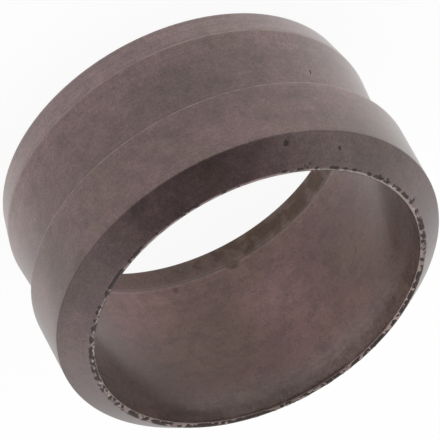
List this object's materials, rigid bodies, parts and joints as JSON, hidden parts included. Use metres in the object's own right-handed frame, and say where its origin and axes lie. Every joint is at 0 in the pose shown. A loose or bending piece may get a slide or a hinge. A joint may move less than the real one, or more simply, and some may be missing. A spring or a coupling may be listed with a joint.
{
  "type": "cutting ring",
  "caption": "Turned steel cutting ring for a 24 degree cone tube fitting, with a collar, a 45 degree nut shoulder and internal cutting edges that bite the tube.",
  "frame": {"origin": "centre of the ring's front (cutting) end face, where the ring stands", "axes": "+Z along the bore axis from the front cutting end to the rear shoulder end; +X and +Y are free, because the ring is round"},
  "size_m": [0.024, 0.024, 0.0125],
  "materials": {
    "cutting_ring": "matt dark brown-grey surface of phosphated or heat-darkened turned steel, lightly worn and pitted at the edges"
  },
  "bodies": {
    "root": {"cutting_ring": "cutting_ring"}
  },
  "joints": []
}
